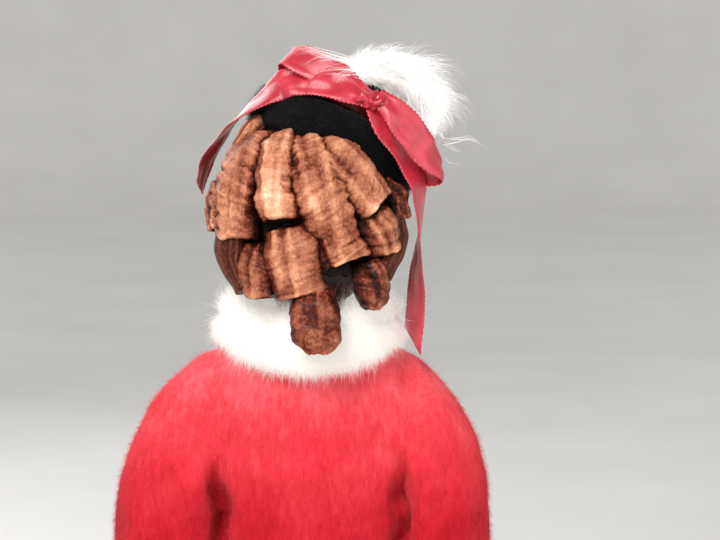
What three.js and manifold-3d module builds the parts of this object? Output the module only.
// A standing caroler doll: a modelled head with applied clay ringlets, a felt hat with a satin bow and a
// plume, a stuffed red felt coat with a fur collar, and wired arms, on a round board.
// Millimetres, +Z up. The doll faces -Y and the origin is the middle of the underside of its felt pad.
import * as THREE from "three";
import { mergeVertices } from "three/addons/utils/BufferGeometryUtils.js";
import Module from "manifold-3d";

const wasm = await Module();
wasm.setup();

// Driving dimensions: the stack from the table to the head.
const FELT_THICKNESS = 1.2;
const BOARD_THICKNESS = 8;
const BOARD_RADIUS = 47;
const BOARD_BEVEL = 1.5;
const BOOT_HEIGHT = 30;
const LEG_LENGTH = 112;
const HIP_TO_WAIST = 38;
const WAIST_TO_SHOULDER = 60;
const SHOULDER_TO_NECK = 14;
const NECK_TO_HEAD = 28.5;
const HEM_CLEARANCE = 12;

// Driving dimensions: cloth, wire and fits.
const FIT = 0.3;
const SOLE_GAP = 0.05;
const COAT_THICKNESS = 1.6;
const PETTICOAT_THICKNESS = 0.9;
const WIRE_RADIUS = 1.1;
const LEG_SPACING = 22;
const LEG_RADIUS_TOP = 7.5;
const LEG_RADIUS_ANKLE = 4.8;
const HIP_HALF_WIDTH = 19;
const HIP_HALF_DEPTH = 13.6;
const TORSO_HALF_WIDTH = 19;
const WAIST_HALF_WIDTH = 17.5;
const WAIST_HALF_DEPTH = 14;
const HEM_HALF_WIDTH = 60;
const HEM_DEPTH_SHARE = 0.92;
const SKIRT_FOLDS = 9;
const FOLD_DEPTH = 3.4;

// Driving dimensions: arms, hands and songbook.
const ELBOW_OUT_LEFT = 34;
const ELBOW_OUT_RIGHT = 29;
const UPPER_ARM_DROP = 44;
const SLEEVE_RADIUS = 13.8;
const ELBOW_RADIUS = 9.5;
const WRIST_RADIUS = 6.8;
const FOREARM_LENGTH = 36;
const SHOULDER_SWEEP = 14.3;
const CUFF_RADIUS = 10;
const CUFF_LENGTH = 9;
const HAND_LENGTH = 15;
const BOOK_WIDTH = 17;
const BOOK_HEIGHT = 25;
const BOOK_COVER = 0.9;
const BOOK_PAGES = 1.8;

// Driving dimensions: head, hat and trimmings.
const HEAD_LEAN = THREE.MathUtils.degToRad(8);
const SKULL_RADIUS = 17.4;
const HAIR_THICKNESS = 2.4;
const NECK_RADIUS = 7.5;
const COLLAR_RADIUS = 20.6;
const HAT_RADIUS = 19;
const BRIM_HEIGHT = 10;
const BRIM_WIDTH = 6.4;
const CROWN_HEIGHT = 14.5;
const BAND_HEIGHT = 4.2;
const BAND_THICKNESS = 0.8;
const RIBBON_WIDTH = 7;
const RIBBON_THICKNESS = 0.6;
const KNOT_HALF_WIDTH = 2.9;
const KNOT_HALF_DEPTH = 2.4;
const KNOT_HALF_LENGTH = 2.4;
const PLUME_HALF_WIDTH = 6.3;
const PLUME_HALF_THICKNESS = 4.4;
const QUILL_RADIUS = 0.7;
const BUTTON_RADIUS = 1.9;
const BUTTON_COUNT = 4;

// Heights worked out from the stack.
const boardTop = FELT_THICKNESS + BOARD_THICKNESS;
const bootTop = boardTop + BOOT_HEIGHT;
const hipZ = bootTop + LEG_LENGTH;
const waistZ = hipZ + HIP_TO_WAIST;
const shoulderZ = waistZ + WAIST_TO_SHOULDER;
const neckZ = shoulderZ + SHOULDER_TO_NECK;
const headZ = neckZ + NECK_TO_HEAD;
const hemZ = boardTop + HEM_CLEARANCE;
const hipLineZ = hipZ + HIP_TO_WAIST * 0.35;
const hairRadius = SKULL_RADIUS + FIT + HAIR_THICKNESS;

const vec = (x, y, z) => new THREE.Vector3(x, y, z);
const shifted = (geometry, x, y, z) => geometry.clone().translate(x, y, z);

// A geometry as a manifold solid, turned right side out.
function solid(geometry) {
  const bare = new THREE.BufferGeometry();
  const loose = geometry.index ? geometry.toNonIndexed() : geometry;
  bare.setAttribute("position", loose.getAttribute("position"));
  const merged = mergeVertices(bare, 1e-4);
  return new wasm.Manifold(
    new wasm.Mesh({
      numProp: 3,
      vertProperties: merged.getAttribute("position").array,
      triVerts: new Uint32Array(merged.index.array),
    }),
  );
}

// A manifold solid as a geometry.
function geometryOf(made) {
  const mesh = made.getMesh();
  const geometry = new THREE.BufferGeometry();
  const points = new Float32Array(mesh.numVert * 3);
  for (let i = 0; i < mesh.numVert; i++) {
    points.set(mesh.vertProperties.subarray(i * mesh.numProp, i * mesh.numProp + 3), i * 3);
  }
  geometry.setAttribute("position", new THREE.BufferAttribute(points, 3));
  geometry.setIndex(new THREE.BufferAttribute(mesh.triVerts, 1));
  return geometry;
}

// The geometry left when each tool is cut from it.
function cut(geometry, ...tools) {
  return geometryOf(tools.reduce((left, tool) => left.subtract(solid(tool)), solid(geometry)));
}

// One geometry from several that overlap.
function join(first, ...others) {
  return geometryOf(others.reduce((sum, other) => sum.add(solid(other)), solid(first)));
}

// The largest of the bodies that a cut leaves.
function largestBody(geometry) {
  const bodies = solid(geometry).decompose();
  return geometryOf(bodies.reduce((most, body) => (body.volume() > most.volume() ? body : most)));
}

// A closed surface from points and triangles, with its faces turned outwards.
function closed(points, triangles) {
  let volume = 0;
  for (const [a, b, c] of triangles) {
    volume += points[a].dot(points[b].clone().cross(points[c]));
  }
  const faces = volume < 0 ? triangles.map(([a, b, c]) => [a, c, b]) : triangles;
  const geometry = new THREE.BufferGeometry().setFromPoints(points);
  geometry.setIndex(faces.flat());
  return geometry;
}

// The triangles between two neighbouring rings of a loft.
function bridge(from, to, count) {
  const triangles = [];
  for (let j = 0; j < count; j++) {
    const k = (j + 1) % count;
    triangles.push([from + j, from + k, to + k], [from + j, to + k, to + j]);
  }
  return triangles;
}

// A skin over rings of points, closed by a fan at each end.
function loft(rings) {
  const count = rings[0].length;
  const points = rings.flat();
  const triangles = [];
  rings.slice(1).forEach((ring, i) => triangles.push(...bridge(i * count, (i + 1) * count, count)));
  [rings[0], rings.at(-1)].forEach((ring, end) => {
    const middle = ring.reduce((sum, p) => sum.add(p), vec(0, 0, 0)).divideScalar(count);
    const centre = points.push(middle) - 1;
    const first = end ? (rings.length - 1) * count : 0;
    for (let j = 0; j < count; j++) {
      const edge = [first + j, first + ((j + 1) % count)];
      triangles.push(end ? [edge[0], edge[1], centre] : [edge[1], edge[0], centre]);
    }
  });
  return closed(points, triangles);
}

// An open-ended wall: the outer rings run down and the inner ones back up, and the last joins the first.
function wall(outerRings, innerRings) {
  const rings = [...outerRings, ...innerRings.slice().reverse()];
  const count = rings[0].length;
  const triangles = rings.flatMap((ring, i) =>
    bridge(i * count, ((i + 1) % rings.length) * count, count),
  );
  return closed(rings.flat(), triangles);
}

// A value read off a smooth curve through [place, value] pairs.
function along(pairs, place) {
  const last = pairs.length - 1;
  if (place <= pairs[0][0]) return pairs[0][1];
  if (place >= pairs[last][0]) return pairs[last][1];
  const i = pairs.findIndex(([at]) => at > place) - 1;
  const share = (place - pairs[i][0]) / (pairs[i + 1][0] - pairs[i][0]);
  const slope = (a, b) => (pairs[b][1] - pairs[a][1]) / (pairs[b][0] - pairs[a][0]);
  const span = pairs[i + 1][0] - pairs[i][0];
  const m0 = slope(Math.max(i - 1, 0), i + 1) * span;
  const m1 = slope(i, Math.min(i + 2, last)) * span;
  const s2 = share * share;
  const s3 = s2 * share;
  return (
    (2 * s3 - 3 * s2 + 1) * pairs[i][1] +
    (s3 - 2 * s2 + share) * m0 +
    (-2 * s3 + 3 * s2) * pairs[i + 1][1] +
    (s3 - s2) * m1
  );
}

// A level oval ring of points.
function oval(z, halfWidth, halfDepth, sides) {
  return Array.from({ length: sides }, (unused, j) => {
    const turn = (2 * Math.PI * j) / sides;
    return vec(halfWidth * Math.cos(turn), halfDepth * Math.sin(turn), z);
  });
}

// A round tube along a path, of one radius.
function wire(path, radius, sides, steps) {
  const section = new THREE.Shape(
    Array.from({ length: sides }, (unused, j) => {
      const turn = (2 * Math.PI * j) / sides;
      return new THREE.Vector2(radius * Math.cos(turn), radius * Math.sin(turn));
    }),
  );
  return new THREE.ExtrudeGeometry(section, { steps, bevelEnabled: false, extrudePath: path });
}

// A turned body from [radius, height] pairs, whose axis runs from one point to another.
function turned(profile, from, to, sides) {
  const points = profile.map(([radius, height]) => new THREE.Vector2(Math.max(radius, 0), height));
  const geometry = new THREE.LatheGeometry(points, sides);
  const direction = to.clone().sub(from).normalize();
  const turn = new THREE.Quaternion().setFromUnitVectors(vec(0, 1, 0), direction);
  return geometry.applyQuaternion(turn).translate(from.x, from.y, from.z);
}

// A capsule between two points.
function capsule(from, to, radius, sides = 5) {
  const length = to.distanceTo(from);
  const cap = [0, 50, 90].map((degrees) => THREE.MathUtils.degToRad(degrees));
  const profile = [
    ...cap.map((a) => [radius * Math.sin(a), -radius * Math.cos(a)]),
    ...cap.toReversed().map((a) => [radius * Math.sin(a), length + radius * Math.cos(a)]),
  ];
  return turned(profile, from, to, sides);
}

// A sphere stretched to three half-sizes.
function ellipsoid(x, y, z, wide = 20, high = 12) {
  return new THREE.SphereGeometry(1, wide, high).rotateX(Math.PI / 2).scale(x, y, z);
}

const doll = new THREE.Group();

// Materials, with the colour, gloss and metalness of each finish.
const material = (color, roughness, metalness = 0) =>
  new THREE.MeshStandardMaterial({ color, roughness, metalness });
const redFelt = material(0xd8242f, 0.95);
const whiteFur = material(0xf6f2ea, 1);
const blackVelvet = material(0x0b0a0c, 0.95);
const redSatin = material(0xd0303f, 0.35);
const paintedHair = material(0x8a4a2e, 0.45);
const paintedSkin = material(0xe9b99a, 0.5);
const blackPaint = material(0x141315, 0.4);
const whiteCotton = material(0xf0ece2, 0.9);
const steelWire = material(0x8c8c90, 0.35, 1);
const wadding = material(0xe6e0d2, 1);
const paintedWood = material(0x20201f, 0.5);
const greenFelt = material(0x1f3b2a, 0.95);
const brass = material(0xb9903e, 0.35, 1);
const whitePlume = material(0xf8f7f4, 0.9);
const bookCloth = material(0x1f4a33, 0.7);
const paper = material(0xf1e9d2, 0.9);

// Adds a named mesh to a group.
function add(name, geometry, finish, group = doll) {
  const mesh = new THREE.Mesh(geometry, finish);
  mesh.name = name;
  group.add(mesh);
  return mesh;
}

// The board that the doll stands on, and its felt pad.
const wireDepth = BOARD_THICKNESS * 0.75;
const legX = LEG_SPACING / 2;

function boardDisc() {
  const r = BOARD_RADIUS;
  const b = BOARD_BEVEL;
  const profile = [
    [0, 0],
    [r, 0],
    [r, BOARD_THICKNESS - b],
    [r - b * 0.3, BOARD_THICKNESS - b * 0.3],
    [r - b, BOARD_THICKNESS],
    [0, BOARD_THICKNESS],
  ];
  return turned(profile, vec(0, 0, FELT_THICKNESS), vec(0, 0, boardTop), 32);
}

// The steel frame: a wire up each leg, both meeting in one spine.
const spineGap = WIRE_RADIUS * 0.8;
const spineTop = shoulderZ - 8;

function frameWire(side, radius, extra = 0) {
  const crotch = hipZ + HIP_TO_WAIST * 0.25;
  const path = new THREE.CatmullRomCurve3(
    [
      vec(side * legX, 0, boardTop - wireDepth - extra),
      vec(side * legX, 0, boardTop + LEG_LENGTH * 0.5),
      vec(side * legX, 0, hipZ - 6),
      vec(side * legX * 0.55, 0, crotch + 4),
      vec(side * spineGap, 0, waistZ),
      vec(side * spineGap, 0, spineTop + extra),
    ],
    false,
    "centripetal",
  );
  return wire(path, radius, 6, 14);
}
const wireFrame = join(frameWire(1, WIRE_RADIUS), frameWire(-1, WIRE_RADIUS));
const frameSpace = join(
  frameWire(1, WIRE_RADIUS + FIT, FIT),
  frameWire(-1, WIRE_RADIUS + FIT, FIT),
);

// The arm wires: each turns in the padding about the line through both shoulders, then bends down.
function elbow(side) {
  const out = side > 0 ? ELBOW_OUT_LEFT : ELBOW_OUT_RIGHT;
  return vec(side * out, 1, shoulderZ - UPPER_ARM_DROP);
}
function forearmDirection(side) {
  return (side > 0 ? vec(-0.3, -0.94, 0.18) : vec(0.04, -1, 0.06)).normalize();
}
function wrist(side) {
  return elbow(side).addScaledVector(forearmDirection(side), FOREARM_LENGTH);
}
const armWireInset = WIRE_RADIUS * 2 + 1.2;

function armWirePath(side) {
  const bend = elbow(side);
  return new THREE.CatmullRomCurve3(
    [
      vec(side * armWireInset, 0, shoulderZ),
      vec(side * TORSO_HALF_WIDTH * 0.6, 0, shoulderZ),
      vec(side * (TORSO_HALF_WIDTH + FIT), 0, shoulderZ),
      vec(side * (TORSO_HALF_WIDTH + 2.5), 0, shoulderZ),
      vec(side * (TORSO_HALF_WIDTH + 6.5), 0, shoulderZ - 8),
      bend,
      bend.clone().lerp(wrist(side), 0.5),
      wrist(side).addScaledVector(forearmDirection(side), 5),
    ],
    false,
    "centripetal",
  );
}
const armWire = (side, radius) => wire(armWirePath(side), radius, 6, 18);

// The bore that the arm wire lies in, rounded at both ends.
function armWireSpace(side) {
  const r = WIRE_RADIUS + FIT;
  const ends = [0, 1].map((share) => {
    const end = armWirePath(side).getPoint(share);
    return ellipsoid(r, r, r, 6, 4).translate(end.x, end.y, end.z);
  });
  return join(armWire(side, r), ...ends);
}

// The wadding that fills the coat, from the hips to the neck.
const torsoSides = 20;
const chestScale = TORSO_HALF_WIDTH / 19;
const chested = (pairs) => pairs.map(([place, value]) => [place, value * chestScale]);
const torsoStations = {
  width: [
    [0, WAIST_HALF_WIDTH],
    ...chested([[15, 19.5], [35, 23], [50, 25.5], [60, 26.5], [68, 25], [73, 21], [77, 15.5], [81, 12.4]]),
  ],
  depth: [
    [0, WAIST_HALF_DEPTH],
    ...chested([[15, 15.2], [35, 16.6], [50, 16.6], [60, 15.6], [68, 13.9], [73, 12.8], [77, 11.9], [81, 11.2]]),
  ],
};
const torsoRise = (WAIST_TO_SHOULDER + SHOULDER_TO_NECK) / 74;

// A level section of the torso, this far above the waist on a doll of the nominal height.
function torsoRing(place, inset) {
  return oval(
    waistZ + place * torsoRise,
    along(torsoStations.width, place) - inset,
    along(torsoStations.depth, place) - inset,
    torsoSides,
  );
}
const torsoPlaces = [0, 15, 35, 50, 60, 68, 73, 77, 81];

// A slab that keeps the torso within its flat sides, where the sleeves lie against it.
function sideSlab(halfWidth) {
  const reach = 200;
  const height = waistZ + headZ;
  return [1, -1].map((side) =>
    shifted(new THREE.BoxGeometry(reach, reach, height), side * (halfWidth + reach / 2), 0, height / 2),
  );
}

function coatTorso() {
  const outer = cut(
    loft(torsoPlaces.map((place) => torsoRing(place, 0))),
    ...sideSlab(TORSO_HALF_WIDTH),
  );
  const innerPlaces = [-3, ...torsoPlaces.slice(1, -1), 84];
  const inner = cut(
    loft(innerPlaces.map((place) => torsoRing(place, COAT_THICKNESS))),
    ...sideSlab(TORSO_HALF_WIDTH - COAT_THICKNESS),
  );
  return cut(outer, inner, armWireSpace(1), armWireSpace(-1));
}

const paddingInset = COAT_THICKNESS + FIT;
const paddingTop = 70;

function torsoPadding() {
  const hips = [
    oval(hipZ, HIP_HALF_WIDTH - 1, HIP_HALF_DEPTH - 1.4, torsoSides),
    oval(hipLineZ, HIP_HALF_WIDTH, HIP_HALF_DEPTH, torsoSides),
    oval(waistZ - 6, WAIST_HALF_WIDTH - paddingInset, WAIST_HALF_DEPTH - paddingInset, torsoSides),
  ];
  const chest = [0, 15, 35, 50, 60, 68, paddingTop].map((place) => torsoRing(place, paddingInset));
  const chestSlabs = sideSlab(TORSO_HALF_WIDTH - paddingInset).map((slab) =>
    shifted(slab, 0, 0, waistZ - 6),
  );
  return cut(
    loft([...hips, ...chest]),
    ...chestSlabs,
    frameSpace,
    neckWireSpace(),
    armWireSpace(1),
    armWireSpace(-1),
  );
}

// The wire in the neck, in two lengths that meet where it bends.
const neckWireFoot = spineTop + 2;
const bendGap = 0.5;

function neckWire(radius, foot, top) {
  return new THREE.CylinderGeometry(radius, radius, top - foot, 10)
    .rotateX(Math.PI / 2)
    .translate(0, 0, (top + foot) / 2);
}
function neckWireSpace() {
  return neckWire(WIRE_RADIUS + FIT, neckWireFoot - FIT, neckZ + 4);
}

// The coat's skirt: a wall of felt that flares to the hem in soft folds.
const skirtSides = 5 * SKIRT_FOLDS;
const skirtFlare = [
  [0, 0],
  [0.06, 0.1],
  [0.15, 0.25],
  [0.35, 0.49],
  [0.65, 0.76],
  [1, 1],
];
const skirtTop = waistZ - FIT;

// A level ring of the skirt, this share of the way from the waist to the hem, set in by a thickness.
function skirtRing(share, inset, foldDepth, bottom, sides) {
  const opened = along(skirtFlare, share);
  const halfWidth = WAIST_HALF_WIDTH + (HEM_HALF_WIDTH - WAIST_HALF_WIDTH) * opened;
  const hemDepth = HEM_HALF_WIDTH * HEM_DEPTH_SHARE;
  const halfDepth = WAIST_HALF_DEPTH + (hemDepth - WAIST_HALF_DEPTH) * opened;
  const z = skirtTop + (bottom - skirtTop) * share;
  const depth = foldDepth * Math.min(1, share / 0.9) ** 0.8;
  return Array.from({ length: sides }, (unused, j) => {
    const turn = (2 * Math.PI * j) / sides;
    const wave = Math.cos(SKIRT_FOLDS * turn + 0.35 * Math.sin(2 * turn) + 0.8 * share);
    const fold = depth * (wave - 1) - inset;
    return vec((halfWidth + fold) * Math.cos(turn), (halfDepth + fold) * Math.sin(turn), z);
  });
}
const skirtShares = [0, 0.06, 0.15, 0.3, 0.5, 0.72, 1];

function coatSkirt() {
  const rings = (inset) =>
    skirtShares.map((share) => skirtRing(share, inset, FOLD_DEPTH, hemZ, skirtSides));
  return wall(rings(0), rings(COAT_THICKNESS));
}

// The petticoat hangs from the hips inside the skirt, and shows a little below the hem.
const petticoatDrop = 2.5;
const petticoatGap = FOLD_DEPTH * 2 + COAT_THICKNESS + 1.2;
const petticoatSides = 24;

function petticoatRing(share, inset) {
  const gather = FIT + PETTICOAT_THICKNESS;
  const spread = (hip, hem) => hip + gather + (hem - petticoatGap - hip - gather) * share ** 0.8;
  const z = hipLineZ + (hemZ - petticoatDrop - hipLineZ) * share;
  const hemHalfDepth = HEM_HALF_WIDTH * HEM_DEPTH_SHARE;
  const halfWidth = spread(HIP_HALF_WIDTH, HEM_HALF_WIDTH);
  const halfDepth = spread(HIP_HALF_DEPTH, hemHalfDepth);
  return oval(z, halfWidth - inset, halfDepth - inset, petticoatSides);
}
function petticoat() {
  const shares = [0, 0.06, 0.2, 0.45, 0.72, 1];
  return wall(
    shares.map((share) => petticoatRing(share, 0)),
    shares.map((share) => petticoatRing(share, PETTICOAT_THICKNESS)),
  );
}

// A leg of wadding wound on its wire.
function leg(side) {
  const foot = bootTop + FIT;
  const top = hipZ - FIT;
  const profile = [
    [0, 0],
    [LEG_RADIUS_ANKLE, 0],
    [LEG_RADIUS_ANKLE + 1.4, (top - foot) * 0.3],
    [LEG_RADIUS_TOP - 1.2, (top - foot) * 0.55],
    [LEG_RADIUS_TOP, top - foot],
    [0, top - foot],
  ];
  const body = turned(profile, vec(side * legX, 0, foot), vec(side * legX, 0, top), 12);
  return cut(body, frameSpace);
}

// A laced boot: its side view, thick across and rounded at the edges.
function boot(side) {
  const h = BOOT_HEIGHT;
  const edge = 1.4;
  const outline = new THREE.Shape();
  outline.moveTo(-6, edge);
  outline.lineTo(3, edge);
  outline.lineTo(4, 3.2);
  outline.lineTo(8, 2.2);
  outline.lineTo(17, edge);
  outline.quadraticCurveTo(21.5, 3, 20.5, 6.5);
  outline.quadraticCurveTo(13, 10.5, 6.8, 13.5);
  outline.lineTo(6.2, h - edge);
  outline.lineTo(-6.2, h - edge);
  outline.quadraticCurveTo(-8, 9, -6, edge);
  const body = new THREE.ExtrudeGeometry(outline, {
    depth: 8.4,
    curveSegments: 4,
    bevelEnabled: true,
    bevelThickness: edge,
    bevelSize: edge,
    bevelSegments: 1,
  });
  body.translate(0, 0, -4.2).rotateX(Math.PI / 2).rotateZ(-Math.PI / 2);
  return cut(shifted(body, side * legX, 0, boardTop + SOLE_GAP), frameSpace);
}

const sleeveSides = 12;

// A sleeve: the stuffed upper arm swells below the shoulder, and meets the forearm at a round elbow.
function upperArm(side, grow = 0) {
  const top = vec(side * TORSO_HALF_WIDTH, 0, shoulderZ + 20);
  const bottom = elbow(side);
  const length = bottom.distanceTo(top);
  const r = SLEEVE_RADIUS;
  const profile = [
    [0, 0.095],
    [0.24, 0.125],
    [0.46, 0.2],
    [0.79, 0.31],
    [0.96, 0.45],
    [1, 0.58],
    [0.9, 0.78],
    [0.72, 1],
    [0.42, 1.12],
    [0, 1.145],
  ].map(([share, place]) => [share * r + (share ? grow : 0), place * length]);
  return turned(profile, top, bottom, sleeveSides);
}
function forearm(side) {
  const r = ELBOW_RADIUS;
  const length = FOREARM_LENGTH;
  const profile = [
    [0, -r * 0.95],
    [r * 0.55, -r * 0.78],
    [r * 0.92, -r * 0.3],
    [r, length * 0.12],
    [r * 0.93, length * 0.45],
    [WRIST_RADIUS + 0.6, length * 0.8],
    [WRIST_RADIUS, length],
    [0, length],
  ];
  return turned(profile, elbow(side), wrist(side), sleeveSides);
}
function sleeve(side) {
  const face = TORSO_HALF_WIDTH + FIT;
  const block = new THREE.BoxGeometry(2 * face, 80, 160);
  const coatSide = shifted(block, 0, 40 - (WAIST_HALF_DEPTH + 6), shoulderZ - 20);
  return cut(join(upperArm(side), forearm(side)), coatSide, armWireSpace(side));
}

// A fur cuff round the end of the sleeve.
function cuff(side) {
  const start = wrist(side).addScaledVector(forearmDirection(side), -CUFF_LENGTH * 0.55);
  const r = CUFF_RADIUS;
  const l = CUFF_LENGTH;
  const profile = [
    [0, 0],
    [r * 0.78, 0],
    [r * 0.96, l * 0.22],
    [r, l * 0.5],
    [r * 0.92, l * 0.8],
    [r * 0.7, l],
    [0, l],
  ];
  const body = turned(profile, start, wrist(side), 12);
  return cut(body, sleeveSpace(side), handSpace(side));
}
function sleeveSpace(side) {
  const w = wrist(side);
  const d = forearmDirection(side);
  const start = w.clone().addScaledVector(d, -CUFF_LENGTH);
  return turned(
    [
      [0, 0],
      [WRIST_RADIUS + 0.6 + FIT, 0],
      [WRIST_RADIUS + FIT, CUFF_LENGTH + FIT],
      [0, CUFF_LENGTH + FIT],
    ],
    start,
    w,
    sleeveSides,
  );
}

// A modelled hand: wrist, palm, four fingers and a thumb, along the forearm's line.
function handFrame(side) {
  const d = forearmDirection(side);
  const across = vec(1, 0, 0);
  const normal = new THREE.Vector3().crossVectors(d, across).normalize();
  const thumbwards = new THREE.Vector3().crossVectors(normal, d).normalize();
  return new THREE.Matrix4()
    .makeBasis(thumbwards, normal, d)
    .setPosition(wrist(side).addScaledVector(d, FIT));
}
const handScale = HAND_LENGTH / 15;
const handStub = 3 * handScale;

function hand(side) {
  const s = handScale;
  const k = (x, y, z) => vec(x * s, y * s, z * s);
  const fingerReach = [12.6, 13.6, 13.2, 12];
  const palm = ellipsoid(4.3 * s, 2.5 * s, 4.6 * s, 10, 7).translate(0, 0, 5.6 * s);
  const stub = new THREE.CylinderGeometry(handStub, handStub, 6 * s, 10).rotateX(Math.PI / 2);
  stub.translate(0, 0, 3 * s);
  const fingers = [-2.9, -1, 0.9, 2.7].map((x, i) =>
    capsule(k(side * x, 0, 8), k(side * x * 1.06, -1.2, fingerReach[i]), 1.15 * s),
  );
  const thumb = capsule(k(-3 * side, -0.6, 4.5), k(-5.6 * side, -2, 8.6), 1.25 * s);
  const made = join(palm, stub, ...fingers, thumb).applyMatrix4(handFrame(side));
  return cut(made, armWireSpace(side));
}
function handSpace(side) {
  const r = HAND_LENGTH * 0.31 + FIT;
  const room = new THREE.CylinderGeometry(r, r, 16, 10).rotateX(Math.PI / 2).translate(0, 0, 7);
  return room.applyMatrix4(handFrame(side));
}

// The open songbook: two boards in a shallow V, and the block of leaves inside them.
const bookAngle = THREE.MathUtils.degToRad(24);
const bookTilt = THREE.MathUtils.degToRad(24);
const coverMargin = 0.8;
const coverRise = 1.2;

function openLeaves(width, thickness, height, inset) {
  const c = Math.cos(bookAngle);
  const s = Math.sin(bookAngle);
  const outline = new THREE.Shape([
    new THREE.Vector2(-width * c, width * s + inset),
    new THREE.Vector2(0, inset),
    new THREE.Vector2(width * c, width * s + inset),
    new THREE.Vector2(width * c - thickness * s, width * s + inset + thickness * c),
    new THREE.Vector2(0, inset + thickness / c),
    new THREE.Vector2(-width * c + thickness * s, width * s + inset + thickness * c),
  ]);
  const body = new THREE.ExtrudeGeometry(outline, { depth: height, bevelEnabled: false });
  return body.translate(0, 0, -height / 2);
}
const pageLift = BOOK_COVER / Math.cos(bookAngle) + FIT;
const book = new THREE.Group();
book.rotation.x = bookTilt;
book.position.copy(wrist(1)).addScaledVector(forearmDirection(1), HAND_LENGTH);
book.position.add(vec(-4, -4.2, (BOOK_HEIGHT / 2) * Math.cos(bookTilt) - 1));
book.updateMatrix();

// The room that the hand leaves for the book.
function bookSpace() {
  const room = openLeaves(
    BOOK_WIDTH + coverMargin + FIT,
    pageLift + BOOK_PAGES + 2 * FIT,
    BOOK_HEIGHT + coverRise + 2 * FIT,
    -FIT * 1.2,
  );
  return room.applyMatrix4(book.matrix);
}

// A fur collar that lies on the shoulders, deep at the back and on the chest.
const collarSides = 18;
const collarTop = [
  [-1, 4],
  [-0.5, 7],
  [0, 12.8],
  [1, 11.5],
];
const collarFoot = [
  [-1, -8.5],
  [0, 0.8],
  [1, -3],
];
const collarSection = [
  [0, 0.75],
  [0, 0.9],
  [0.12, 0.99],
  [0.32, 1.01],
  [0.55, 0.98],
  [0.78, 0.93],
  [1, 0.84],
  [1, 0.76],
  [0.75, 0.72],
  [0.3, 0.71],
];

const collarScale = COLLAR_RADIUS / 20.6;

// One ring of the collar, at a share of its height and of its radius, round the neck.
function collarRing(height, radius) {
  return Array.from({ length: collarSides }, (unused, j) => {
    const turn = (2 * Math.PI * j) / collarSides;
    const back = Math.sin(turn);
    const foot = along(collarFoot, back);
    const z = neckZ + (foot + (along(collarTop, back) - foot) * height) * collarScale;
    return vec(COLLAR_RADIUS * radius * Math.cos(turn), COLLAR_RADIUS * radius * back, z);
  });
}
function collar() {
  const rings = collarSection.map(([height, radius]) => collarRing(height, radius));
  const body = wall(rings, []);
  const torsoSpace = cut(
    loft(torsoPlaces.map((place) => torsoRing(place, -FIT))),
    ...sideSlab(TORSO_HALF_WIDTH + FIT),
  );
  const swing = new THREE.CylinderGeometry(SHOULDER_SWEEP, SHOULDER_SWEEP, 30, 32).rotateZ(Math.PI / 2);
  const swings = [1, -1].map((side) =>
    shifted(swing, side * (TORSO_HALF_WIDTH + 15), 0, shoulderZ),
  );
  return largestBody(cut(body, torsoSpace, ...swings));
}

// A button, domed in front, that lies on the chest at a place above the waist.
const buttonPlaces = Array.from({ length: BUTTON_COUNT }, (unused, i) => 8 + (i * 44) / BUTTON_COUNT);

function button() {
  const r = BUTTON_RADIUS;
  const profile = [
    [0, 0],
    [r * 0.85, 0],
    [r, r * 0.25],
    [r * 0.8, r * 0.55],
    [r * 0.4, r * 0.68],
    [0, r * 0.7],
  ];
  return turned(profile, vec(0, 0, 0), vec(0, -1, 0), 10);
}

// The head leans forward. Places on it are given as across (towards the doll's right), up and depth
// (towards the back), from the middle of the head.
const headGroup = new THREE.Group();
headGroup.position.z = headZ;
headGroup.rotation.x = HEAD_LEAN;
doll.add(headGroup);

const headScale = SKULL_RADIUS / 17.4;
const at = (across, up, depth) => vec(-across, depth, up).multiplyScalar(headScale);
const plumb = (z, y = 0) => vec(0, y, z - headZ).applyAxisAngle(vec(1, 0, 0), -HEAD_LEAN);

// The modelled face: an egg of clay with cheeks, a nose, lips parted in song, and a neck.
function skull(grow = 0) {
  const r = SKULL_RADIUS + grow;
  return ellipsoid(r, r + 0.9, r + 2.4, 18, 12).translate(0, -0.8, 0);
}
function neckStub(grow = 0) {
  return turned(
    [
      [0, 0],
      [NECK_RADIUS * 1.08 + grow, 0],
      [NECK_RADIUS + grow, 5],
      [NECK_RADIUS + grow, NECK_TO_HEAD * 0.7],
      [0, NECK_TO_HEAD * 0.7],
    ],
    plumb(neckZ + neckLift),
    plumb(headZ),
    14,
  );
}
const neckLift = 1.5;

function headClay() {
  const front = -SKULL_RADIUS - 0.9;
  const cheeks = [1, -1].map((side) =>
    ellipsoid(4.8, 4, 4.6, 8, 6).translate(side * 6.4, front + 5.2, -5.6),
  );
  const nose = ellipsoid(1.9, 2.4, 3, 8, 6).translate(0, front - 0.2, -2);
  const brow = ellipsoid(8.4, 3, 2.6, 10, 6).translate(0, front + 3.6, 3.6);
  const chin = ellipsoid(5, 4.6, 4, 10, 7).translate(0, front + 6.6, -14.6);
  const lips = ellipsoid(3.4, 2.2, 2.9, 12, 7).translate(0, front + 2.6, -9.2);
  const mouth = ellipsoid(2.1, 3, 1.8, 10, 6).translate(0, front + 0.6, -9.2);
  const made = join(skull(), neckStub(), ...cheeks, nose, brow, chin, lips);
  return cut(made, mouth, headWireSpace());
}
function headWire(radius, extra = 0) {
  const foot = neckZ + bendGap / 2 - extra;
  const top = neckZ + NECK_TO_HEAD * 0.62 + extra;
  return turned([[0, 0], [radius, 0], [radius, top - foot], [0, top - foot]], plumb(foot), plumb(top), 10);
}
const headWireSpace = () => headWire(WIRE_RADIUS + FIT, FIT);

// The hair is a cap of clay behind the face, with ringlets laid over it.
function capBody(grow = 0) {
  const r = hairRadius + grow;
  return ellipsoid(r, r + 0.6, r + 1.4, 18, 12).translate(0, -0.4, 0);
}
const nape = -13;

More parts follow.
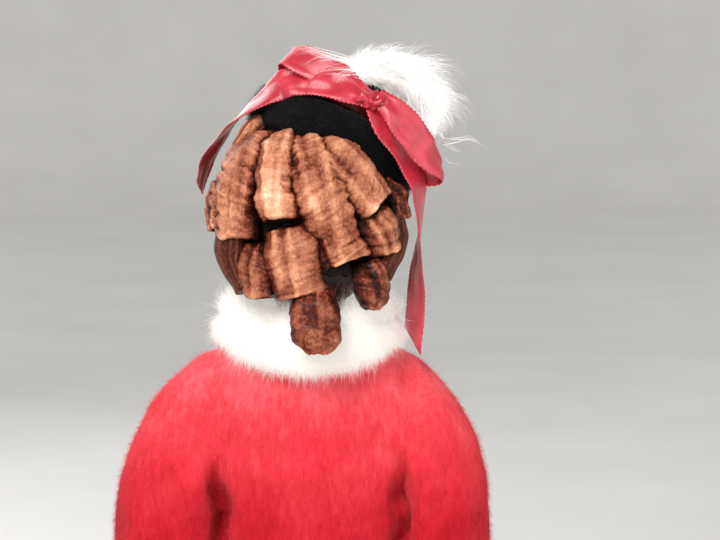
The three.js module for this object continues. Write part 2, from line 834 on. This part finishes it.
function hairCap() {
  const low = new THREE.BoxGeometry(80, 80, 40).translate(0, 0, nape - 20);
  const faceOpening = ellipsoid(14.6, 16, 17.5, 18, 11).translate(0, -hairRadius - 1, -5.5);
  return largestBody(cut(capBody(), skull(FIT), faceOpening, low));
}

// The depth of a point on the hair, this far above its surface. Below the ears the hair hangs clear of
// the collar.
const hangFrom = -9;

function onHair(across, up, lift) {
  const held = Math.max(up, hangFrom);
  const flare = Math.min(Math.max(-up, 0), -hangFrom) * 0.15;
  const reach = hairRadius / headScale + 0.4 + lift + flare;
  return Math.sqrt(Math.max(reach ** 2 - across ** 2 - held ** 2, 9));
}

// A ringlet: a flattened roll with raised coils round it, along a curve over the hair, cut square at
// its free end and hollowed there.
const curlThickness = 6.2;
const curlLift = 2.3;
const coilPitch = 4.4;

function ringletPath(points, lift = 0) {
  const knots = points.map(([across, up]) => at(across, up, onHair(across, up, curlLift + lift)));
  return new THREE.CatmullRomCurve3(knots, false, "centripetal");
}
function ringletRings(path, widths, grow, sides = 8) {
  const length = path.getLength();
  const steps = Math.max(6, Math.round((length / coilPitch) * 2));
  const rings = [];
  for (let i = 0; i <= steps; i++) {
    const share = i / steps;
    const centre = path.getPointAt(share);
    const forward = path.getTangentAt(share);
    const outward = vec(centre.x, centre.y, Math.max(centre.z, hangFrom) * 0.6);
    outward.addScaledVector(forward, -outward.dot(forward)).normalize();
    const side = new THREE.Vector3().crossVectors(forward, outward);
    const swell = i % 2 ? 1 : 0.9;
    const halfWidth = (along(widths, share) / 2) * swell + grow;
    const halfDeep = (Math.min(curlThickness, along(widths, share)) / 2) * swell + grow;
    const stretch = i === 0 ? -grow : i === steps ? grow : 0;
    rings.push(
      Array.from({ length: sides }, (unused, j) => {
        const turn = (2 * Math.PI * j) / sides;
        const slant = 0.28 * Math.cos(turn) * (i > 0 && i < steps ? 1 : 0) * (halfWidth / 2);
        return centre
          .clone()
          .addScaledVector(side, halfWidth * Math.cos(turn))
          .addScaledVector(outward, halfDeep * Math.sin(turn))
          .addScaledVector(forward, stretch + slant);
      }),
    );
  }
  return rings;
}
function ringlet(curl, grow = 0) {
  const path = ringletPath(curl.points, curl.lift);
  const widths = [
    [0, curl.widths[0]],
    [0.35, curl.widths[1]],
    [1, curl.widths[2]],
  ];
  const body = loft(ringletRings(path, widths, grow));
  if (grow || !curl.open) return body;
  const tip = path.getPointAt(1);
  const inwards = path.getTangentAt(1).multiplyScalar(-1.6).add(tip);
  const outwards = path.getTangentAt(1).multiplyScalar(1).add(tip);
  const bore = curl.widths[2] * 0.24;
  const hollow = turned([[0, 0], [bore, 0], [bore * 0.55, 2.6], [0, 2.6]], outwards, inwards, 10);
  return cut(body, hollow);
}

// The ringlets, from the top row to the bottom one: a name, [across, up] points, and the widths of the
// root, the body and the end. A lift moves one off the hair, and a closed one has no hollow in its end.
function lock(name, points, widths, { lift = 0, open = true } = {}) {
  return { name, points, widths, lift, open };
}
const curls = [
  lock("curl_crown_left", [[-12.6, 14.4], [-16.2, 6.9], [-15.2, -4.2]], [8, 9.8, 9.2]),
  lock("curl_crown_middle", [[-5.6, 17.6], [-6.8, 9.8], [-6.6, -1]], [6, 8.6, 8.8]),
  lock("curl_crown_wave", [[-0.6, 14.2], [3.4, 4.2], [8.2, -9.6]], [6, 10.2, 10.4]),
  lock("curl_crown_right", [[4.6, 13], [10, 8], [14.8, 2]], [8, 10.2, 9.4]),
  lock("curl_side_left", [[-17.6, 9.6], [-19.6, 3], [-19.2, -3.4]], [5.5, 7.4, 6.8]),
  lock("curl_side_right", [[17.4, 7.2], [19.6, 2.8], [20, -2.2]], [4, 5.2, 5]),
  lock("curl_nape_left", [[-11.9, -3], [-11.9, -11], [-11, -17.4]], [6, 8, 7.4], { lift: -0.5 }),
  lock("curl_nape_middle", [[-4.4, -3], [-3, -10.3], [-1.6, -17]], [8, 11.2, 11]),
  lock("curl_low_side_right", [[12.6, 0], [15.8, -4.8], [17.6, -8.8]], [6.5, 8.4, 7.8]),
  lock("curl_nape_right", [[12.6, -9.6], [13.8, -14.6], [14.2, -18.4]], [6.5, 8, 7.8]),
  lock("curl_tail", [[1.2, -15.6], [1.6, -22.6], [1.8, -28.6]], [8, 10.8, 10.8], { lift: 1.4 }),
  lock("hair_roll_left", [[-18.2, -3.6], [-18.2, -9], [-17, -12.8]], [5, 5.4, 4.2], { open: false }),
  lock("hair_roll_right", [[19.4, -3.2], [19.4, -8], [18.6, -11.8]], [3.6, 4.2, 3.6], { open: false }),
  lock("hair_roll_top", [[-17, 13], [-12.6, 18.2], [-5.6, 20.6]], [4, 5.2, 4.4], { lift: -1, open: false }),
];

// The hat sits askew on the crown of the head. Its rolled brim rings a domed crown with a band.
const hatAcross = 5;
const hatUp = 15.5;
const hatDepth = -2;
const hatBase = at(hatAcross, hatUp, hatDepth);
const hatAxis = at(0.44, 0.86, -0.12).normalize();
const hatTop = hatBase.clone().addScaledVector(hatAxis, CROWN_HEIGHT);
const hatSides = 20;
const crownRadius = HAT_RADIUS - BRIM_WIDTH - FIT;

function hatBrim(grow = 0) {
  const centre = HAT_RADIUS - BRIM_WIDTH / 2;
  const halfWidth = BRIM_WIDTH / 2 + grow;
  const halfHeight = BRIM_HEIGHT / 2 + grow;
  const ring = Array.from({ length: 10 }, (unused, i) => {
    const turn = (2 * Math.PI * (i % 9)) / 9;
    return [centre + halfWidth * Math.cos(turn), halfHeight * Math.sin(turn)];
  });
  return turned(ring, hatBase, hatTop, hatSides);
}
function hatCrown(grow = 0) {
  const r = crownRadius + grow;
  const h = CROWN_HEIGHT + grow;
  const profile = [
    [0, -6],
    [r, -6],
    [r, h - 4],
    [r * 0.94, h - 1.7],
    [r * 0.75, h - 0.5],
    [r * 0.4, h],
    [0, h],
  ];
  return turned(profile, hatBase, hatTop, hatSides);
}
function hatBand(grow = 0) {
  const low = BRIM_HEIGHT / 2 + FIT - grow;
  const inner = crownRadius + FIT - grow;
  const outer = crownRadius + FIT + BAND_THICKNESS + grow;
  const high = BRIM_HEIGHT / 2 + FIT + BAND_HEIGHT + grow;
  const profile = [
    [inner, low],
    [outer, low],
    [outer, high],
    [inner, high],
    [inner, low],
  ];
  return turned(profile, hatBase, hatTop, hatSides);
}

// A length of ribbon along [across, up, depth] points, each with the way that its face looks.
const ribbonSteps = 13;

function ribbon({ points, pinch }, grow = 0) {
  const count = ribbonSteps;
  const centres = points.map(([a, u, d]) => at(a, u, d));
  const path = new THREE.CatmullRomCurve3(centres, false, "centripetal");
  const looks = points.map(([, , , a, u, d]) => at(a, u, d).normalize());
  const rings = [];
  for (let i = 0; i <= count; i++) {
    const share = i / count;
    const centre = path.getPoint(share);
    const forward = path.getTangent(share);
    const place = share * (looks.length - 1);
    const k = Math.min(Math.floor(place), looks.length - 2);
    const look = looks[k].clone().lerp(looks[k + 1], place - k);
    look.addScaledVector(forward, -look.dot(forward)).normalize();
    const side = new THREE.Vector3().crossVectors(forward, look);
    const halfWidth = (RIBBON_WIDTH / 2) * along(pinch, share) + grow;
    const halfThick = RIBBON_THICKNESS / 2 + grow;
    const stretch = i === 0 ? -grow : i === count ? grow : 0;
    rings.push(
      [
        [1, 1],
        [-1, 1],
        [-1, -1],
        [1, -1],
      ].map(([s, t]) =>
        centre
          .clone()
          .addScaledVector(side, s * halfWidth)
          .addScaledVector(look, t * halfThick)
          .addScaledVector(forward, stretch),
      ),
    );
  }
  return loft(rings);
}
const tailPinch = [
  [0, 0.6],
  [0.12, 0.95],
  [1, 1],
];
const loopPinch = [
  [0, 0.6],
  [0.2, 1],
  [0.8, 1],
  [1, 0.6],
];
const bowAt = [13.4, 23.6, 12.8];
const ribbons = [
  {
    name: "ribbon_tail_left",
    pinch: tailPinch,
    points: [
      [11.6, 24.2, 12.4, 0.1, 0.45, 0.9],
      [9, 24.9, 12.2, 0.1, 0.25, 0.96],
      [4.8, 26.3, 11.9, 0, 0.15, 0.98],
      [-1.5, 27.1, 10.6, -0.1, 0.15, 0.98],
      [-8, 25.6, 8.4, -0.4, 0.4, 0.8],
      [-13, 22.6, 5.8, -0.8, 0.45, 0.4],
      [-17, 18.6, 4.4, -0.87, 0.42, 0.25],
      [-20.8, 13.6, 3.2, -0.93, 0.3, 0.2],
      [-23, 9, 2.6, -0.95, 0.2, 0.2],
      [-24, 5, 2.4, -0.97, 0.2, 0.1],
    ],
  },
  {
    name: "ribbon_tail_right",
    pinch: tailPinch,
    points: [
      [14, 22, 12.6, 0.2, 0.35, 0.9],
      [15.2, 19.6, 12.3, 0.2, 0.35, 0.9],
      [17.2, 16.6, 12.2, 0.3, 0.3, 0.9],
      [20.2, 12.2, 11.6, 0.4, 0.15, 0.9],
      [22.6, 7.3, 10.2, 0.45, 0, 0.89],
      [24.4, 2.4, 8, 0.6, 0, 0.8],
      [25, -1.5, 6, 0.8, 0, 0.6],
      [24.8, -5.5, 4.6, 0.95, 0, 0.2],
      [24, -12, 3.6, 0.9, 0, -0.3],
      [23.4, -19.5, 3, 0.85, 0, -0.45],
      [23.6, -27.6, 2.4, 0.85, 0, -0.4],
    ],
  },
  {
    name: "bow_loop_left",
    pinch: loopPinch,
    points: [
      [12, 24.6, 13.6, 0.2, 0.5, 0.9],
      [9.6, 26.8, 13.8, 0.2, 0.5, 0.9],
      [5.6, 30, 13.8, 0, 0.35, 0.94],
      [0.4, 32.6, 12.8, -0.1, 0.35, 0.94],
      [-4.6, 33.4, 10.8, -0.6, 0.4, 0.6],
      [-5.8, 33.8, 8.6, -1, 0.2, -0.1],
      [-3, 34, 7, -0.4, 0, -0.9],
      [3, 32.8, 7.8, 0, 0.2, -0.95],
      [8.2, 28.6, 10, 0, 0.3, -0.95],
      [11.6, 25.8, 11.4, 0, 0.3, -0.95],
    ],
  },
  {
    name: "bow_loop_right",
    pinch: loopPinch,
    points: [
      [14.8, 24, 14, 0.1, 0.3, 0.94],
      [17.4, 22.2, 14.8, 0.2, 0.3, 0.94],
      [21.4, 18.4, 14.4, 0.2, 0.3, 0.94],
      [25.4, 14, 12.2, 0.3, 0.3, 0.9],
      [27.6, 10.2, 9.4, 0.9, -0.2, 0.2],
      [27, 8.6, 7.2, 0.6, -0.5, -0.5],
      [24.4, 10.6, 6, 0, -0.2, -0.95],
      [20.4, 15, 7.2, -0.1, -0.1, -0.95],
      [17.2, 20, 9.2, -0.2, 0.1, -0.95],
      [15, 23.6, 10.8, -0.2, 0.2, -0.95],
    ],
  },
];

// The knot is a short sleeve of ribbon that grips the loops and tails.
function bowKnot(grow = 0) {
  const rings = [-1, -0.75, -0.25, 0.25, 0.75, 1].map((share, i) => {
    const swell = [0.72, 0.95, 1, 1.02, 0.94, 0.7][i];
    const long = KNOT_HALF_LENGTH + grow;
    const centre = at(...bowAt).add(at(0.15 * share * long, share * long, 0.1 * share * long));
    return Array.from({ length: 12 }, (unused, j) => {
      const turn = (2 * Math.PI * j) / 12;
      const pinch = j % 2 ? 0.92 : 1.04;
      const wide = KNOT_HALF_WIDTH * swell * pinch + grow;
      const deep = KNOT_HALF_DEPTH * swell * pinch + grow;
      return centre
        .clone()
        .add(at(wide * Math.cos(turn), -0.15 * wide * Math.cos(turn), deep * Math.sin(turn)));
    });
  });
  return loft(rings);
}

// The plume curls over the hat from behind the bow: a quill in a full, soft vane.
const plumePoints = [
  [7.6, 26.8, 9.6],
  [10, 29.4, 8.4],
  [14, 30.2, 6.6],
  [19, 29.6, 4.6],
  [24, 27, 3],
  [27.4, 22.8, 2],
  [28.4, 18.2, 1.6],
];
const plumePath = new THREE.CatmullRomCurve3(
  plumePoints.map(([a, u, d]) => at(a, u, d)),
  false,
  "centripetal",
);
const quillShare = 0.94;

function plumeQuill(radius, extra = 0) {
  const count = 8;
  const points = Array.from({ length: count + 1 }, (unused, i) =>
    plumePath.getPoint((i / count) * quillShare),
  );
  if (extra) points.unshift(points[0].clone().addScaledVector(plumePath.getTangent(0), -extra));
  return wire(new THREE.CatmullRomCurve3(points, false, "centripetal"), radius, 6, 10);
}
function plumeVane() {
  const steps = 16;
  const sides = 8;
  const rings = [];
  const shape = [
    [0, 0.3],
    [0.2, 0.7],
    [0.45, 0.98],
    [0.75, 1],
    [0.93, 0.72],
    [1, 0.4],
  ];
  for (let i = 0; i <= steps; i++) {
    const share = i / steps;
    const centre = plumePath.getPoint(0.04 + 0.96 * share);
    const forward = plumePath.getTangent(0.04 + 0.96 * share);
    const outward = at(0, 0, 1);
    outward.addScaledVector(forward, -outward.dot(forward)).normalize();
    const side = new THREE.Vector3().crossVectors(forward, outward);
    const full = along(shape, share) * (i % 2 ? 1 : 0.86);
    rings.push(
      Array.from({ length: sides }, (unused, j) => {
        const turn = (2 * Math.PI * j) / sides;
        return centre
          .clone()
          .addScaledVector(side, PLUME_HALF_WIDTH * full * Math.cos(turn))
          .addScaledVector(outward, PLUME_HALF_THICKNESS * full * Math.sin(turn))
          .addScaledVector(forward, -1.2 * Math.abs(Math.cos(turn)));
      }),
    );
  }
  return loft(rings);
}

// The stand, the legs and the wires inside.
add(
  "base_felt",
  turned(
    [
      [0, 0],
      [BOARD_RADIUS - BOARD_BEVEL, 0],
      [BOARD_RADIUS - BOARD_BEVEL, FELT_THICKNESS],
      [0, FELT_THICKNESS],
    ],
    vec(0, 0, 0),
    vec(0, 0, FELT_THICKNESS),
    32,
  ),
  greenFelt,
);
add("base_board", cut(boardDisc(), frameSpace), paintedWood);
add("armature_frame", wireFrame, steelWire);
for (const [name, side] of [["left", 1], ["right", -1]]) {
  add(`boot_${name}`, boot(side), blackPaint);
  add(`leg_${name}`, leg(side), wadding);
}

// The padding and the clothes that stay on the body.
add("torso_padding", torsoPadding(), wadding);
add("petticoat", petticoat(), whiteCotton);
add("coat_skirt", coatSkirt(), redFelt);
add("coat_torso", coatTorso(), redFelt);
add("fur_collar", collar(), whiteFur);
buttonPlaces.forEach((place, i) => {
  const mesh = add(`coat_button_${i + 1}`, button(), brass);
  mesh.position.set(0, -along(torsoStations.depth, place) - FIT, waistZ + place * torsoRise);
});
add("neck_wire", neckWire(WIRE_RADIUS, neckWireFoot, neckZ - bendGap / 2), steelWire);

// The arms, and the songbook that the left hand holds.
for (const [name, side] of [["left", 1], ["right", -1]]) {
  const arm = new THREE.Group();
  doll.add(arm);
  add(`sleeve_${name}`, sleeve(side), redFelt, arm);
  add(`cuff_${name}`, cuff(side), whiteFur, arm);
  add(`hand_${name}`, side > 0 ? largestBody(cut(hand(side), bookSpace())) : hand(side), blackPaint, arm);
  add(`arm_wire_${name}`, armWire(side, WIRE_RADIUS), steelWire, arm);
}
doll.add(book);
const coverBoards = openLeaves(BOOK_WIDTH + coverMargin, BOOK_COVER, BOOK_HEIGHT + coverRise, 0);
add("songbook_cover", coverBoards, bookCloth, book);
add("songbook_pages", openLeaves(BOOK_WIDTH, BOOK_PAGES, BOOK_HEIGHT, pageLift), paper, book);

// The head, its hair and its hat. What lies lower is cut to clear what lies over it.
const hatSpaces = [hatBrim(FIT), hatCrown(FIT)];
const bandSpace = hatBand(FIT);
const knotSpace = bowKnot(FIT);
const ribbonSpaces = ribbons.map((one) => ribbon(one, FIT));
add("head", headClay(), paintedSkin, headGroup);
add("head_wire", headWire(WIRE_RADIUS), steelWire, headGroup);
add("hair_cap", hairCap(), paintedHair, headGroup);
add("hat_crown", largestBody(cut(hatCrown(), capBody(FIT))), blackVelvet, headGroup);
add("hat_band", hatBand(), redSatin, headGroup);
add("bow_knot", bowKnot(), redSatin, headGroup);
ribbons.forEach((one, i) => {
  const over = [knotSpace, bandSpace, ...ribbonSpaces.slice(0, i)];
  add(one.name, largestBody(cut(ribbon(one), ...over)), redSatin, headGroup);
});
add("hat_brim", largestBody(cut(hatBrim(), capBody(FIT), ...ribbonSpaces)), blackVelvet, headGroup);

const overHair = [capBody(FIT), ...hatSpaces, ...ribbonSpaces];
const laid = [];
for (const curl of curls) {
  add(curl.name, largestBody(cut(ringlet(curl), ...overHair, ...laid)), paintedHair, headGroup);
  laid.push(ringlet(curl, FIT));
}

const overPlume = [knotSpace, bandSpace, ...ribbonSpaces, ...hatSpaces];
const quillSpace = plumeQuill(QUILL_RADIUS + FIT, 2);
add("plume_quill", largestBody(cut(plumeQuill(QUILL_RADIUS), ...overPlume)), whitePlume, headGroup);
add("plume_vane", largestBody(cut(plumeVane(), quillSpace, ...overPlume)), whitePlume, headGroup);

export default doll;
